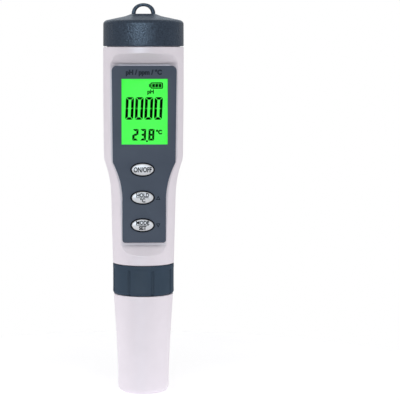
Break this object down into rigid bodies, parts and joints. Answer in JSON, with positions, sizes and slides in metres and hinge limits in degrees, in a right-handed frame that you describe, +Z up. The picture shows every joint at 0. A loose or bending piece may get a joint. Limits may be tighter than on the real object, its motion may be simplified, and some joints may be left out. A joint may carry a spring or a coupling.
{
  "type": "ph test pen",
  "caption": "Pocket water tester pen: waisted white body with display and keypad, screw-on battery cap with loop, ring nut, electrode module and push-on cap.",
  "frame": {"origin": "centre of the flat foot of the protective cap, on the pen's axis", "axes": "+Z up the pen towards the cord loop, -Y out of the keypad face, +X to the right of a reader facing the display"},
  "size_m": [0.0378, 0.0378, 0.1831],
  "materials": {
    "body_plastic": "satin moulded ABS, cool white",
    "panel_plastic": "satin slate-grey plate",
    "window_lens": "clear polished acrylic",
    "natural_plastic": "moulded natural plastic",
    "board_laminate": "green solder mask",
    "black_plastic": "black moulded plastic",
    "display_glass": "backlit green display",
    "diffuser_plastic": "light-guide plate",
    "seal_rubber": "black rubber",
    "steel": "nickel-plated steel",
    "contact_metal": "gold-plated brass",
    "key_plastic": "satin light-grey key",
    "slate_plastic": "fine-textured slate-grey ABS",
    "sensor_glass": "thin clear glass",
    "junction_ceramic": "porous white ceramic"
  },
  "bodies": {
    "meter_body": {"body_shell": "body_plastic", "front_panel": "panel_plastic", "display_window": "window_lens", "inner_chassis": "natural_plastic", "main_board": "board_laminate", "lcd_frame": "black_plastic", "lcd_glass": "display_glass", "backlight_panel": "diffuser_plastic", "zebra_strip": "seal_rubber", "microcontroller": "black_plastic", "amplifier_chip": "black_plastic", "crystal_can": "steel", "power_switch": "steel", "hold_switch": "steel", "mode_switch": "steel", "board_screw_1": "steel", "board_screw_2": "steel", "board_screw_3": "steel", "board_screw_4": "steel", "battery_holder": "black_plastic", "lower_contact": "contact_metal", "battery_cell_1": "steel", "battery_cell_2": "steel", "battery_cell_3": "steel", "neck_seal": "seal_rubber", "electrode_socket": "black_plastic"},
    "power_button": {"power_key": "key_plastic", "power_plunger": "black_plastic"},
    "hold_button": {"hold_key": "key_plastic", "hold_plunger": "black_plastic"},
    "mode_button": {"mode_key": "key_plastic", "mode_plunger": "black_plastic"},
    "cap_contact": {"cap_contact_plate": "contact_metal", "cap_spring": "steel"},
    "lid": {"battery_cap": "slate_plastic"},
    "electrode_module": {"electrode_holder": "natural_plastic", "module_seal": "seal_rubber", "cap_seal": "seal_rubber", "plug_contacts": "contact_metal", "ph_electrode": "sensor_glass", "reference_junction": "junction_ceramic", "tds_pin_1": "steel", "tds_pin_2": "steel", "temperature_probe": "steel"},
    "ring_nut": {"collar": "slate_plastic"},
    "cover": {"protective_cap": "body_plastic"}
  },
  "joints": [
    {"name": "power_press", "type": "slide", "parent": "meter_body", "child": "power_button", "axis": [0, 1, 0], "range_m": [0, 0.0005], "stiffness_N_per_m": 3000},
    {"name": "hold_press", "type": "slide", "parent": "meter_body", "child": "hold_button", "axis": [0, 1, 0], "range_m": [0, 0.0005], "stiffness_N_per_m": 3000},
    {"name": "mode_press", "type": "slide", "parent": "meter_body", "child": "mode_button", "axis": [0, 1, 0], "range_m": [0, 0.0005], "stiffness_N_per_m": 3000},
    {"name": "battery_cap_lift", "type": "slide", "parent": "meter_body", "child": "cap_contact", "axis": [0, 0, 1], "range_m": [0, 0.0096]},
    {"name": "battery_cap_turn", "type": "hinge", "parent": "cap_contact", "child": "lid", "pos_m": [0, 0, 0.17], "axis": [0, 0, 1], "range_deg": [0, 1080]},
    {"name": "module_drop", "type": "slide", "parent": "meter_body", "child": "electrode_module", "axis": [0, 0, -1], "range_m": [0, 0.0102]},
    {"name": "collar_turn", "type": "hinge", "parent": "electrode_module", "child": "ring_nut", "pos_m": [0, 0, 0.054], "axis": [0, 0, -1], "range_deg": [0, 1080]},
    {"name": "cover_pull", "type": "slide", "parent": "electrode_module", "child": "cover", "axis": [0, 0, -1], "range_m": [0, 0.05]}
  ],
  "couplings": [
    {"joint": "battery_cap_turn", "follows": "battery_cap_lift", "rad_per_m": 1963.5},
    {"joint": "collar_turn", "follows": "module_drop", "rad_per_m": 1848}
  ]
}
